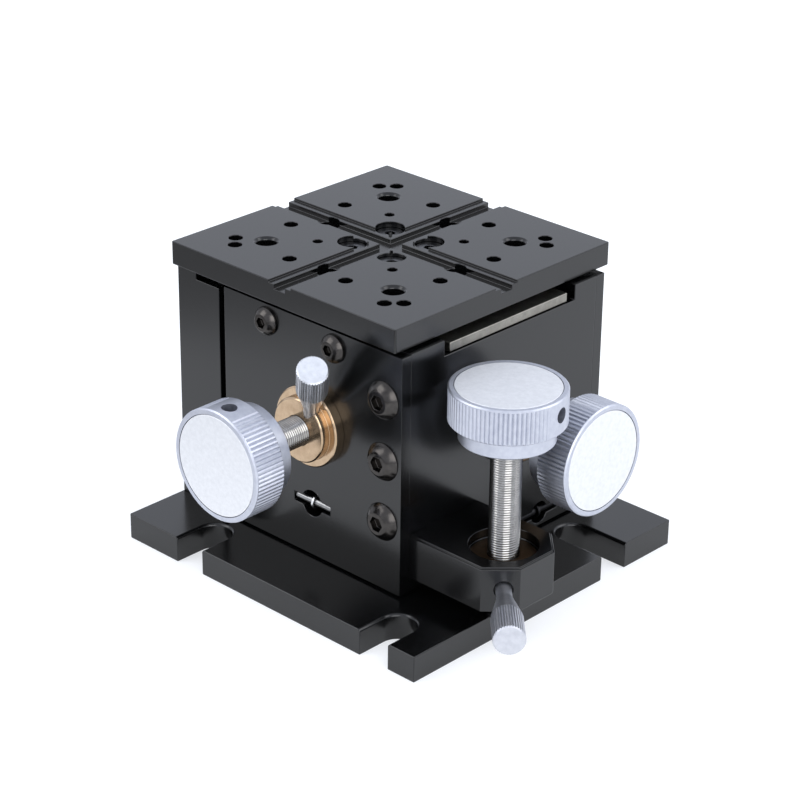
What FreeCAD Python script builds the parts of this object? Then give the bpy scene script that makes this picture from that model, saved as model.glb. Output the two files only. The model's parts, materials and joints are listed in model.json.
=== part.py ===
import FreeCAD, Part
import math
import os
import re
import Sketcher

os.makedirs("parts", exist_ok=True)
doc = FreeCAD.newDocument("FiberAlignmentStage")
Vector = FreeCAD.Vector
Rotation = FreeCAD.Rotation

# Driving dimensions in millimetres
# x runs towards the right side, y towards the back and z up from the underside of the base
DRIVING = [
    ("past", 1.0, "how far a cutting or joining shape runs past a face"),
    ("knurl_past", 0.1, "how far a knurl's cutting shape runs past its rim"),
    ("base_left", -29.9, "left edge of the base plate"),
    ("base_right", 47.9, "right edge of the base plate"),
    ("base_front", -43.0, "front edge of the base plate"),
    ("base_back", 31.0, "back edge of the base plate"),
    ("base_thick", 5.4, "thickness of the base plate"),
    ("slot_wide", 7.1, "width of a clamping slot"),
    ("slot_left", -12.3, "x of the left slot's round end"),
    ("slot_front", -36.5, "y of the front slots' round ends"),
    ("slot_pitch", 50.0, "square pitch of the clamping slots"),
    ("slot_chamfer", 0.4, "edge break round a clamping slot"),
    ("post_right", -18.2, "right side of the fixed post"),
    ("post_front", -28.6, "front of the fixed post"),
    ("post_back", 27.0, "back of the fixed post"),
    ("post_below", 0.64, "top of the fixed post below the top plate"),
    ("notch_left", -24.7, "left side of the step in the post's top"),
    ("notch_deep", 1.5, "depth of the step in the post's top"),
    ("post_screw_near", 3.0, "post screws, x each side of their middle"),
    ("post_screw_x", -23.5, "post screws, middle in x"),
    ("post_screw_front", -21.5, "y of the front pair of post screws"),
    ("post_screw_back", 19.5, "y of the back pair of post screws"),
    ("post_screw_bite", 10.0, "length of a post screw in the post"),
    ("channel_room", 1.0, "space behind the tongue in the post's channel"),
    ("riser_lift", 0.4, "gap under the riser at its lowest"),
    ("floor_thick", 4.6, "thickness of the riser's floor"),
    ("riser_left", -15.6, "left face of the riser"),
    ("left_wall", 5.0, "thickness of the riser's left wall"),
    ("face_right", 31.43, "right face of the riser"),
    ("right_wall", 4.83, "thickness of the riser's right wall"),
    ("corner_thick", 7.2, "thickness of the right wall's two ends"),
    ("corner_long", 6.3, "length of the right wall's two ends"),
    ("face_front", -29.64, "front face of the front cover"),
    ("cover_thick", 2.44, "thickness of the front cover"),
    ("core_back", 24.7, "back face of the riser's body"),
    ("back_thick", 2.4, "thickness of the back plate"),
    ("left_wall_below", 3.64, "top of the riser's left wall below the top plate"),
    ("right_wall_below", 0.45, "top of the riser's right wall below the top plate"),
    ("cover_below", 0.6, "top of the front cover below the top plate"),
    ("back_below", 0.44, "top of the back plate below the top plate"),
    ("window_half", 18.4, "half width of the window for the saddle's ledge"),
    ("tongue_half", 6.0, "half width of the riser's tongue"),
    ("tongue_left", -24.5, "left face of the riser's tongue"),
    ("rail_thick", 3.0, "thickness of every guide rail"),
    ("rail_gap", 0.8, "gap between a fixed and a moving rail"),
    ("z_rail_wide", 6.0, "width of the upright rails"),
    ("z_rail_foot", 8.0, "foot of the upright rails"),
    ("z_rail_short", 3.9, "moving upright rails' top below the riser's left wall"),
    ("roller_wide", 1.5, "diameter of a crossed roller"),
    ("roller_long", 1.4, "length of a crossed roller"),
    ("roller_play", 0.05, "play of a roller between its grooves"),
    ("roller_pitch", 2.6, "pitch of the rollers in a cage"),
    ("roller_room", 0.1, "play of a roller in its cage window"),
    ("x_roller_count", 8, "rollers in a cage along x"),
    ("y_roller_count", 7, "rollers in a cage along y"),
    ("z_roller_count", 13, "rollers in an upright cage"),
    ("cage_thick", 0.4, "thickness of a cage strip"),
    ("cage_wide", 4.0, "width of a cage strip"),
    ("cage_end", 1.5, "cage strip beyond the last roller's middle"),
    ("cross_travel", 6.5, "travel of the two cross slides each way"),
    ("lift_travel", 3.0, "travel of the riser"),
    ("rail_high", 5.0, "height of the rails along x and y"),
    ("x_rail_below", 1.54, "top of the rails along x below the top plate"),
    ("x_rail_middle", 6.4, "middle of the rails along x"),
    ("x_moving_long", 20.0, "length of the moving rails along x"),
    ("y_rail_below", 0.3, "top of the rails along y below the saddle's top"),
    ("y_moving_long", 18.3, "length of the moving rails along y"),
    ("keel_middle", 8.0, "x of the carriage keel's middle"),
    ("keel_half", 3.0, "half width of the carriage keel"),
    ("saddle_wall", 2.0, "wall of the cross saddle"),
    ("saddle_high", 8.3, "height of the cross saddle's frame"),
    ("table_thick", 3.14, "thickness of the carriage's table"),
    ("ledge_right", 31.0, "outer end of the saddle's ledge"),
    ("ledge_half", 16.5, "half width of the saddle's ledge"),
    ("ledge_thick", 1.8, "thickness of the saddle's ledge"),
    ("ledge_gap", 0.15, "gap between the ledge and the window's sill"),
    ("carriage_left", -8.5, "left edge of the carriage"),
    ("carriage_right", 16.0, "right edge of the carriage"),
    ("carriage_front", -12.0, "front edge of the carriage"),
    ("carriage_back", 10.5, "back edge of the carriage"),
    ("slide_room", 0.3, "gap between sliding pieces"),
    ("arm_thick", 3.0, "thickness of the two push arms"),
    ("y_arm_left", 0.5, "left edge of the carriage's push arm"),
    ("y_arm_right", 17.0, "right edge of the carriage's push arm"),
    ("y_arm_front", -11.0, "front face of the carriage's push arm"),
    ("y_arm_foot", 14.0, "foot of the carriage's push arm"),
    ("y_arm_below", 0.5, "top of the carriage's push arm below the rails along y"),
    ("x_arm_setback", 0.6, "saddle's push arm behind the saddle's right side"),
    ("x_arm_front", -1.0, "front edge of the saddle's push arm"),
    ("x_arm_foot", 11.0, "foot of the saddle's push arm"),
    ("x_foot_left", 4.0, "left end of the saddle arm's foot"),
    ("x_foot_thick", 3.5, "thickness of the saddle arm's foot"),
    ("pad_thick", 0.5, "thickness of a hard push pad"),
    ("pad_half", 4.0, "half height of a hard push pad"),
    ("x_pad_wide", 6.0, "width of the saddle's push pad"),
    ("deck_half", 30.0, "half width of the top plate"),
    ("deck_top", 60.07, "top face of the top plate"),
    ("deck_thick", 4.75, "thickness of the top plate"),
    ("deck_corner", 0.4, "corner radius of the top plate"),
    ("deck_edge", 0.1, "edge break round the top plate"),
    ("groove_wide", 6.0, "width of the cross groove"),
    ("groove_step", 0.5, "depth of the cross groove's ledges"),
    ("channel_wide", 3.0, "width of the cross groove's channel"),
    ("channel_deep", 1.5, "depth of the cross groove's channel"),
    ("groove_hole_off", 17.0, "holes in the cross groove, distance from the middle"),
    ("groove_hole_r", 2.1, "radius of the holes in the cross groove"),
    ("corner_hole_off", 17.0, "M4 holes, distance from the middle lines"),
    ("corner_hole_r", 2.0, "radius of the M4 holes"),
    ("corner_hole_sink", 0.5, "countersink of the M4 holes"),
    ("inner_hole_off", 10.0, "M2 holes, distance from the middle lines"),
    ("inner_hole_r", 1.0, "radius of the M2 holes"),
    ("edge_hole_r", 1.4, "radius of the M3 holes"),
    ("edge_hole_out", 20.0, "M3 holes, distance out"),
    ("edge_hole_wide", 22.5, "M3 holes at the corners, distance along the edge"),
    ("edge_hole_near", 7.5, "M3 holes beside the groove, distance from it"),
    ("deck_screw_off", 5.3, "top plate's screws, distance from the middle lines"),
    ("deck_screw_sunk", 1.2, "top plate's screw heads below its face"),
    ("deck_screw_bite", 2.5, "length of the top plate's screws in the carriage"),
    ("head_room", 0.15, "play round a sunk screw head"),
    ("small_r", 1.5, "thread radius of an M3 screw"),
    ("small_cap_r", 2.75, "head radius of an M3 cap screw"),
    ("small_cap_high", 3.0, "head height of an M3 cap screw"),
    ("small_cap_flats", 2.5, "socket of an M3 cap screw, across flats"),
    ("small_low_r", 2.75, "head radius of a low M3 cap screw"),
    ("small_low_high", 2.0, "head height of a low M3 cap screw"),
    ("small_low_flats", 2.0, "socket of a low M3 cap screw, across flats"),
    ("small_button_r", 2.85, "head radius of an M3 button screw"),
    ("small_button_high", 1.65, "head height of an M3 button screw"),
    ("small_button_flats", 2.0, "socket of an M3 button screw, across flats"),
    ("large_r", 2.0, "thread radius of an M4 screw"),
    ("large_button_r", 3.8, "head radius of an M4 button screw"),
    ("large_button_high", 1.75, "head height of an M4 button screw"),
    ("large_button_flats", 2.7, "socket of an M4 button screw, across flats"),
    ("dome_round", 1.16, "radius of a button head's dome, in head radii"),
    ("dome_under", 1.03, "dome's middle below the head's top, in head radii"),
    ("socket_share", 0.75, "depth of a socket as a share of its head"),
    ("pass_room", 0.1, "play of a screw in a plain hole"),
    ("large_screw_x", 26.8, "x of the cover's M4 screws"),
    ("large_screw_foot", 20.05, "z of the cover's lowest M4 screw"),
    ("large_screw_pitch", 12.5, "pitch of the cover's M4 screws"),
    ("large_screw_bite", 5.7, "length of the cover's M4 screws in the wall"),
    ("small_screw_left", -3.85, "x of the cover's left M3 screw"),
    ("small_screw_right", 13.95, "x of the cover's right M3 screw"),
    ("small_screw_bite", 2.0, "length of the cover's M3 screws in the rail"),
    ("z_screw_x", 46.2, "x of the lifting screw"),
    ("z_screw_y", -17.35, "y of the lifting screw"),
    ("bracket_foot", 9.0, "underside of the bracket"),
    ("bracket_top", 18.06, "top of the bracket"),
    ("bracket_half", 9.85, "half width of the bracket"),
    ("bracket_right", 54.55, "outer end of the bracket"),
    ("bracket_corner", 5.1, "corner cut of the bracket"),
    ("bracket_edge", 0.4, "edge break of the bracket's top"),
    ("bracket_recess_r", 6.6, "radius of the recess over the lifting bushing"),
    ("bracket_recess_deep", 1.86, "depth of the recess over the lifting bushing"),
    ("bracket_lip", 1.2, "lip under the lifting bushing"),
    ("bracket_lip_r", 5.5, "bore radius of that lip"),
    ("bracket_screw_y", 6.95, "bracket screws, y each side of the lifting screw"),
    ("bracket_screw_z", 13.5, "z of the bracket's screws"),
    ("bracket_screw_seat", 3.2, "wall left under the bracket screws' heads"),
    ("bracket_screw_bite", 7.0, "length of the bracket's screws in the bracket"),
    ("drive_r", 3.0, "thread radius of a drive screw"),
    ("drive_play", 0.05, "play of a drive screw in its bushing"),
    ("drive_edge", 0.5, "edge break of a drive screw's end"),
    ("ball_r", 1.5, "radius of a drive screw's ball tip"),
    ("ball_out", 1.0, "ball tip out of the screw's end"),
    ("ball_play", 0.03, "play of a ball tip in its socket"),
    ("tip_gap", 0.05, "gap between a ball tip and its pad"),
    ("y_screw_x", 8.7, "x of the front drive screw"),
    ("y_screw_z", 34.1, "z of the front drive screw"),
    ("x_screw_y", 1.3, "y of the right drive screw"),
    ("x_screw_z", 31.3, "z of the right drive screw"),
    ("y_knob_rear", -44.0, "y of the front knob's rear face"),
    ("x_knob_rear", 43.2, "x of the right knob's rear face"),
    ("z_knob_rear", 39.9, "z of the lifting knob's rear face"),
    ("knob_r", 11.0, "radius of a knob"),
    ("knob_band", 6.9, "width of a knob's knurled band"),
    ("knob_rim", 0.25, "edge break of a knob"),
    ("hub_r", 9.0, "radius of a knob's plain hub"),
    ("hub_long", 3.7, "length of a knob's plain hub"),
    ("disc_r", 9.85, "radius of a knob's face disc"),
    ("disc_play", 0.12, "gap round a knob's face disc"),
    ("disc_thick", 1.0, "thickness of a knob's face disc"),
    ("knurl_deep", 0.22, "depth of a knob's knurl"),
    ("knurl_half", 0.28, "half width of a knurl groove"),
    ("knurl_count", 80, "knurl grooves round a knob"),
    ("knurl_rim", 0.4, "plain rim in front of the knurl"),
    ("knurl_clear", 18.0, "plain angle each side of the set screw, degrees"),
    ("set_hole_r", 1.5, "radius of a set screw's hole"),
    ("set_hole_back", 3.1, "set screw behind the knob's front face"),
    ("set_screw_play", 0.05, "play of a set screw in its hole"),
    ("set_screw_long", 5.0, "length of a set screw"),
    ("set_screw_flats", 1.5, "socket of a set screw, across flats"),
    ("y_set_angle", 87.0, "turn of the front knob's set screw, degrees"),
    ("x_set_angle", 20.0, "turn of the right knob's set screw, degrees"),
    ("z_set_angle", 11.7, "turn of the lifting knob's set screw, degrees"),
    ("flange_r", 8.1, "radius of a brass bushing's flange"),
    ("flange_thick", 2.2, "thickness of a brass bushing's flange"),
    ("boss_r", 6.5, "radius of a brass bushing's boss"),
    ("boss_out", 4.2, "a brass bushing's boss out of its face"),
    ("neck_r", 4.5, "radius of a brass bushing's neck"),
    ("bushing_edge", 0.3, "edge break of a brass bushing"),
    ("y_neck_long", 6.0, "length of the front bushing's neck"),
    ("x_neck_short", 0.1, "right bushing's neck short of the wall"),
    ("anvil_r", 1.3, "radius of the anvil under the lifting screw"),
    ("anvil_thick", 3.0, "thickness of that anvil"),
    ("lock_thread_r", 1.5, "thread radius of a locking screw"),
    ("lock_play", 0.05, "play of a locking screw in its hole"),
    ("lock_cone_long", 7.1, "length of a locking screw's cone"),
    ("lock_head_r", 3.02, "radius of a locking screw's head"),
    ("lock_head_long", 7.4, "length of a locking screw's head"),
    ("lock_edge", 0.3, "edge break of a locking screw's head"),
    ("lock_knurl_deep", 0.15, "depth of a locking screw's knurl"),
    ("lock_knurl_half", 0.17, "half width of that knurl's groove"),
    ("lock_knurl_count", 36, "knurl grooves round a locking screw"),
    ("lock_knurl_out", 0.8, "knurl grooves running out on a locking screw's cone"),
    ("y_lock_y", -30.4, "y where the front lock's line crosses its drive screw"),
    ("y_lock_tip", 4.35, "front lock's tip from that crossing"),
    ("y_lock_cone", 7.6, "start of the front lock's cone from that crossing"),
    ("y_lock_side", 0.445, "front lock's direction, part along x"),
    ("y_lock_out", 0.41, "front lock's direction, part towards the front"),
    ("y_lock_up", 0.795, "front lock's direction, part along z"),
    ("y_lock_hole", 9.0, "outer end of the front lock's hole"),
    ("z_lock_z", 13.5, "height of the lifting lock's line"),
    ("z_lock_aside", 0.45, "lifting lock's line beside the lifting screw's line"),
    ("z_lock_tip", 3.2, "lifting lock's tip from the lifting screw's line"),
    ("z_lock_cone", 12.7, "start of the lifting lock's cone from the lifting screw's line"),
    ("z_lock_sink_r", 1.8, "radius of the lifting lock's counterbore"),
    ("z_lock_sink", 0.6, "depth of the lifting lock's counterbore"),
    ("spring_pin_r", 0.8, "radius of a spring's anchor pin"),
    ("spring_wire_r", 0.3, "radius of a spring's wire"),
    ("spring_hook_play", 0.1, "play of a spring's hook round its pin"),
    ("spring_r", 1.8, "radius of a spring's coils"),
    ("spring_leg", 2.5, "coils' end from the middle of a hook"),
    ("spring_hole_r", 2.7, "radius of a spring's hole"),
    ("pin_slot_wide", 2.0, "width of an anchor pin's slot"),
    ("pin_slot_deep", 2.0, "depth of an anchor pin's slot"),
    ("pin_slot_end", 0.2, "play at an anchor pin's ends"),
    ("y_spring_x", 8.2, "x of the spring along y"),
    ("y_spring_z", 16.9, "z of the spring along y"),
    ("y_pin_half", 4.7, "half length of the front anchor pin"),
    ("y_post_half", 4.0, "half length of the carriage's anchor pin"),
    ("x_spring_y", 10.2, "y of the spring along x"),
    ("x_spring_z", 8.7, "z of the spring along x"),
    ("x_pin_half", 5.2, "half length of the right anchor pin"),
    ("x_spring_hole_r", 2.3, "radius of the hole behind the right anchor pin"),
    ("x_post_x", 6.0, "x of the saddle's anchor post"),
    ("x_post_below", 1.4, "saddle's anchor post below the spring's line"),
    ("trough_half", 3.2, "half width of the trough for the spring along x"),
    ("trough_left", -3.0, "left end of that trough"),
    ("trough_floor", 0.8, "riser's floor left under that trough"),
    ("z_spring_x", -7.0, "x of the upright spring"),
    ("z_spring_y", -23.8, "y of the upright spring"),
    ("z_pin_top", 38.0, "z of the upright spring's upper pin"),
    ("z_pin_out", 5.6, "upper pin out of the riser's left wall"),
    ("z_pin_in", 3.0, "upper pin in the riser's left wall"),
    ("z_pin_half", 4.4, "half length of the upright spring's lower pin"),
    ("z_pin_slot_deep", 3.2, "depth of the lower pin's slot in the underside"),
]

# Places that follow from the driving dimensions
RULES = {
    "core_front": "face_front + cover_thick",
    "riser_foot": "base_thick + riser_lift",
    "floor_top": "riser_foot + floor_thick",
    "cavity_left": "riser_left + left_wall",
    "cavity_right": "face_right - right_wall",
    "corner_left": "face_right - corner_thick",
    "corner_front": "core_front + corner_long",
    "corner_back": "core_back - corner_long",
    "post_top": "deck_under - post_below",
    "left_wall_top": "deck_under - left_wall_below",
    "right_wall_top": "deck_under - right_wall_below",
    "cover_top": "deck_under - cover_below",
    "back_top": "deck_under - back_below",
    "window_sill": "saddle_top - ledge_gap",
    "slide_middle": "(core_front + core_back) / 2",
    "two_rails": "2 * rail_thick + rail_gap",
    "saddle_front": "core_front + two_rails",
    "saddle_back": "core_back - two_rails",
    "saddle_inner": "keel_half + two_rails",
    "saddle_outer": "saddle_inner + saddle_wall",
    "saddle_right": "keel_middle + saddle_outer",
    "x_arm_right": "saddle_right - x_arm_setback",
    "x_arm_left": "x_arm_right - arm_thick",
    "x_arm_back": "x_spring_y + trough_half",
    "x_pad_face": "x_arm_right + pad_thick",
    "y_pad_face": "y_arm_front - pad_thick",
    "y_arm_back": "y_arm_front + arm_thick",
    "deck_under": "deck_top - deck_thick",
    "carriage_foot": "deck_under - table_thick",
    "saddle_top": "carriage_foot - slide_room",
    "saddle_foot": "saddle_top - saddle_high",
    "x_rail_top": "deck_under - x_rail_below",
    "x_rail_foot": "x_rail_top - rail_high",
    "y_rail_top": "saddle_top - y_rail_below",
    "y_rail_foot": "y_rail_top - rail_high",
    "y_arm_top": "y_rail_foot - y_arm_below",
    "small_screw_z": "(x_rail_foot + x_rail_top) / 2",
    "z_moving_long": "left_wall_top - z_rail_short - z_rail_foot",
    "z_rail_right": "tongue_left + z_rail_wide",
    "channel_left": "tongue_left - channel_room",
    "channel_half": "tongue_half + two_rails",
    "vee_deep": "((roller_wide + roller_play) * sqrt(2) - rail_gap) / 2",
    "knob_long": "knob_band + hub_long",
    "bore_r": "drive_r + drive_play",
    "lock_hole_r": "lock_thread_r + lock_play",
    "pin_inset": "pin_slot_deep - spring_pin_r",
    "y_pin_y": "face_front + pin_inset",
    "y_post_y": "y_arm_back - pin_inset",
    "x_pin_x": "face_right - pin_inset",
    "z_pin_z": "z_pin_slot_deep - spring_pin_r",
    "hook_r": "spring_pin_r + spring_hook_play + spring_wire_r",
    "bracket_facet": "(bracket_right - bracket_corner / 2 - z_screw_x + bracket_half - bracket_corner / 2)"
                     " / sqrt(2)",
}

sheet = doc.addObject("Spreadsheet::Sheet", "Sizes")
for row, (alias, value, note) in enumerate(DRIVING, start=1):
    sheet.set(f"A{row}", alias)
    sheet.set(f"B{row}", str(value))
    sheet.setAlias(f"B{row}", alias)
    sheet.set(f"C{row}", note)
doc.recompute()

ALIASES = {alias for alias, value, note in DRIVING}
WORD = re.compile(r"[A-Za-z_][A-Za-z_0-9]*")
TURNS = {
    "x": Rotation(Vector(0, 1, 0), 90),
    "y": Rotation(Vector(1, 0, 0), -90),
    "z": Rotation(),
    "-x": Rotation(Vector(0, 1, 0), -90),
    "-y": Rotation(Vector(1, 0, 0), 90),
    "-z": Rotation(Vector(1, 0, 0), 180),
}
CLOSE = 0.001
PLANES = {"x": "YZ_Plane", "y": "XZ_Plane", "z": "XY_Plane"}
nodes = []


def spell(rule):
    """A rule with its places worked out down to the sheet's cells"""
    def word(match):
        name = match.group()
        if name in RULES:
            return "(" + spell(RULES[name]) + ")"
        if name in ALIASES:
            return "Sizes." + name
        return name
    return WORD.sub(word, str(rule))


def number(rule):
    return float(sheet.evalExpression(spell(rule)))


def bind(thing, prop, rule):
    thing.setExpression(prop, spell(rule))


def put(thing, turn, x="0", y="0", z="0"):
    """Turns a finished shape from its own upright axis and sets it in place"""
    thing.Placement = FreeCAD.Placement(Vector(), turn)
    bind(thing, "Placement.Base.x", x)
    bind(thing, "Placement.Base.y", y)
    bind(thing, "Placement.Base.z", z)
    return thing


def node(thing):
    nodes.append(thing)
    return thing


# Plain shapes

def block(label, x, y, z):
    box = doc.addObject("Part::Box", label)
    bind(box, "Length", f"({x[1]}) - ({x[0]})")
    bind(box, "Width", f"({y[1]}) - ({y[0]})")
    bind(box, "Height", f"({z[1]}) - ({z[0]})")
    return put(box, Rotation(), x[0], y[0], z[0])


def rod(label, run, across, low, high, radius):
    """A cylinder along one axis, across gives its two other coordinates in order"""
    bar = doc.addObject("Part::Cylinder", label)
    bind(bar, "Radius", radius)
    bind(bar, "Height", f"({high}) - ({low})")
    places = list(across)
    places.insert("xyz".index(run), low)
    return put(bar, TURNS[run], *places)


def joined(label, pieces):
    fuse = doc.addObject("Part::MultiFuse", label)
    fuse.Shapes = pieces
    return fuse


def without(label, base, tools):
    cut = doc.addObject("Part::Cut", label)
    cut.Base = base
    cut.Tool = tools[0] if len(tools) == 1 else joined(label + "_tools", tools)
    return cut


def together(label, pieces):
    """Several separate pieces that share one node"""
    group = doc.addObject("Part::Compound", label)
    group.Links = pieces
    return group


def outline(body, plane, points, offset):
    """A closed outline on an origin plane, each corner tied to the sheet"""
    sketch = body.newObject("Sketcher::SketchObject", body.Name + "_outline")
    support = [f for f in body.Origin.OriginFeatures if f.Role == plane]
    sketch.AttachmentSupport = [(support[0], "")]
    sketch.MapMode = "FlatFace"
    bind(sketch, "AttachmentOffset.Base.z", offset)
    corners = [Vector(number(a), number(b), 0) for a, b in points]
    count = len(corners)
    for i in range(count):
        sketch.addGeometry(Part.LineSegment(corners[i], corners[(i + 1) % count]))
    for i in range(count):
        sketch.addConstraint(Sketcher.Constraint("Coincident", i, 2, (i + 1) % count, 1))
    for i, (across, up) in enumerate(points):
        for kind, rule, value in (("DistanceX", across, corners[i].x), ("DistanceY", up, corners[i].y)):
            place = sketch.addConstraint(Sketcher.Constraint(kind, -1, 1, i, 1, value))
            bind(sketch, f"Constraints[{place}]", rule)
    return sketch


def profile(label, run, points, low, high):
    """A straight bar of one section along an axis"""
    body = doc.addObject("PartDesign::Body", label)
    offset = f"-({high})" if run == "y" else low
    sketch = outline(body, PLANES[run], points, offset)
    pad = body.newObject("PartDesign::Pad", label + "_pad")
    pad.Profile = sketch
    bind(pad, "Length", f"({high}) - ({low})")
    return body


def turned(label, points):
    """A turned piece about its own upright axis, from radius and height pairs"""
    body = doc.addObject("PartDesign::Body", label)
    sketch = outline(body, "XZ_Plane", points, "0")
    turn = body.newObject("PartDesign::Revolution", label + "_turn")
    turn.Profile = sketch
    turn.ReferenceAxis = (sketch, ["V_Axis"])
    turn.Angle = 360
    return body


def grooves(label, radius, deep, half, low, high, count, clear="0"):
    """Straight knurl grooves round an upright axis, with a plain patch about the first direction"""
    tool = doc.addObject("Part::Feature", label)
    rim, depth, flank = number(radius), number(deep), number(half)
    outside = number("knurl_past")
    wide = flank * (depth + outside) / depth
    foot, long = number(low), number(high) - number(low)
    teeth = []
    total = int(number(count))
    for i in range(total):
        angle = 360.0 * (i + 0.5) / total
        if min(angle, 360.0 - angle) < number(clear):
            continue
        corners = [
            Vector(rim - depth, 0, foot),
            Vector(rim + outside, wide, foot),
            Vector(rim + outside, -wide, foot),
        ]
        tooth = Part.Face(Part.makePolygon(corners + corners[:1])).extrude(Vector(0, 0, long))
        tooth.rotate(Vector(), Vector(0, 0, 1), angle)
        teeth.append(tooth)
    tool.Shape = Part.makeCompound(teeth)
    return tool


# Screws with a hexagon socket, head up, seated at height nought

def socket(label, flats, top, deep):
    hexagon = doc.addObject("Part::Prism", label)
    hexagon.Polygon = 6
    bind(hexagon, "Circumradius", f"({flats}) / sqrt(3)")
    bind(hexagon, "Height", f"({deep}) + past")
    return put(hexagon, Rotation(), z=f"({top}) - ({deep})")


def screw(label, size, kind, bite):
    """A cap, low cap or button screw, bite is its length under the head"""
    head_r, head_high = f"{size}_{kind}_r", f"{size}_{kind}_high"
    flats = f"{size}_{kind}_flats"
    shank = rod(label + "_shank", "z", ("0", "0"), f"-({bite})", head_high, f"{size}_r")
    head = rod(label + "_head", "z", ("0", "0"), "0", head_high, head_r)
    if kind == "button":
        dome = doc.addObject("Part::Sphere", label + "_dome")
        bind(dome, "Radius", f"({head_r}) * dome_round")
        put(dome, Rotation(), z=f"({head_high}) - ({head_r}) * dome_under")
        crown = doc.addObject("Part::Common", label + "_crown")
        crown.Base = head
        crown.Tool = dome
        head = crown
    whole = joined(label + "_whole", [head, shank])
    deep = f"socket_share * {head_high}"
    return without(label, whole, [socket(label + "_socket", flats, head_high, deep)])


def rail(label, run, back, face, foot, top, low, high):
    """One guide rail with a right-angled groove along the middle of its face"""
    middle = f"(({foot}) + ({top})) / 2"
    sign = "-" if number(face) > number(back) else "+"
    points = [
        (back, foot),
        (face, foot),
        (face, f"{middle} - vee_deep"),
        (f"{face} {sign} vee_deep", middle),
        (face, f"{middle} + vee_deep"),
        (face, top),
        (back, top),
    ]
    if run == "z":
        points = [(b, a) for a, b in points]
    return profile(label, run, points, low, high)


def span(run, gap, along, across, up):
    """Ranges along the run, across the gap and along the rail's height, as x, y and z"""
    upright = ({"x", "y", "z"} - {run, gap}).pop()
    ranges = {run: along, gap: across, upright: up}
    return ranges["x"], ranges["y"], ranges["z"]


def caged_rollers(label, run, gap, gap_middles, up_middle, run_middle, count):
    """Cage strips and their crossed rollers, one strip in each gap between two rails"""
    upright = ({"x", "y", "z"} - {run, gap}).pop()
    unit = {"x": Vector(1, 0, 0), "y": Vector(0, 1, 0), "z": Vector(0, 0, 1)}
    window = "(roller_wide + roller_long) / 2 / sqrt(2) + roller_room"
    half_window = "roller_wide / 2 + roller_room"
    count = int(number(count))
    strips = []
    rollers = []
    for side, gap_middle in enumerate(gap_middles):
        first = f"({run_middle}) - {(count - 1) / 2} * roller_pitch"
        last = f"({run_middle}) + {(count - 1) / 2} * roller_pitch"
        along = (f"{first} - cage_end", f"{last} + cage_end")
        across = (f"({gap_middle}) - cage_thick / 2", f"({gap_middle}) + cage_thick / 2")
        up = (f"({up_middle}) - cage_wide / 2", f"({up_middle}) + cage_wide / 2")
        strip = block(f"{label}_strip{side}", *span(run, gap, along, across, up))
        holes = []
        for i in range(count):
            middle = f"{first} + {i} * roller_pitch"
            along = (f"{middle} - ({half_window})", f"{middle} + ({half_window})")
            across = (f"({gap_middle}) - cage_thick", f"({gap_middle}) + cage_thick")
            up = (f"({up_middle}) - ({window})", f"({up_middle}) + ({window})")
            holes.append(block(f"{label}_hole{side}_{i}", *span(run, gap, along, across, up)))
            sign = 1 if i % 2 == 0 else -1
            roller = doc.addObject("Part::Cylinder", f"{label}_roller{side}_{i}")
            bind(roller, "Radius", "roller_wide / 2")
            bind(roller, "Height", "roller_long")
            reach = "roller_long / 2 / sqrt(2)"
            ends = {
                run: middle,
                gap: f"({gap_middle}) - {reach}",
                upright: f"({up_middle}) - {sign} * {reach}",
            }
            lean = Rotation(Vector(0, 0, 1), unit[gap] + unit[upright] * sign)
            rollers.append(put(roller, lean, ends["x"], ends["y"], ends["z"]))
        strips.append(without(f"{label}_cage{side}", strip, holes))
    node(together(label + "_cages", strips))
    node(together(label + "_rollers", rollers))


# Base plate with its three open clamping slots, and the pieces sunk into it

def clamping_slot(label, x, y, run):
    """A slot from its round end to the plate's edge, with broken upper edges"""
    end = rod(label + "_end", "z", (x, y), "-past", "base_thick + past", "slot_wide / 2")
    rim = doc.addObject("Part::Cone", label + "_rim")
    bind(rim, "Radius1", "slot_wide / 2")
    bind(rim, "Radius2", "slot_wide / 2 + 2 * slot_chamfer")
    bind(rim, "Height", "2 * slot_chamfer")
    put(rim, Rotation(), x, y, "base_thick - slot_chamfer")
    half = "slot_wide / 2"
    foot, top = "base_thick - slot_chamfer", "base_thick + slot_chamfer"
    if run == "y":
        middle, low, high = x, "base_front - past", y
        sides = ((f"{x} - {half}", f"{x} + {half}"), (low, high))
    else:
        middle, low, high = y, x, "base_right + past"
        sides = ((low, high), (f"{y} - {half}", f"{y} + {half}"))
    way = block(label + "_way", *sides, ("-past", "base_thick + past"))
    points = [
        (f"{middle} - {half}", foot),
        (f"{middle} + {half}", foot),
        (f"{middle} + {half} + 2 * slot_chamfer", top),
        (f"{middle} - {half} - 2 * slot_chamfer", top),
    ]
    edges = profile(label + "_edges", run, points, low, high)
    return [end, rim, way, edges]


POST_SCREWS = [
    (f"post_screw_x {sign} post_screw_near", y)
    for sign in "-+" for y in ("post_screw_front", "post_screw_back")
]
POST_SEAT = "small_cap_high + slide_room"


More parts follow.
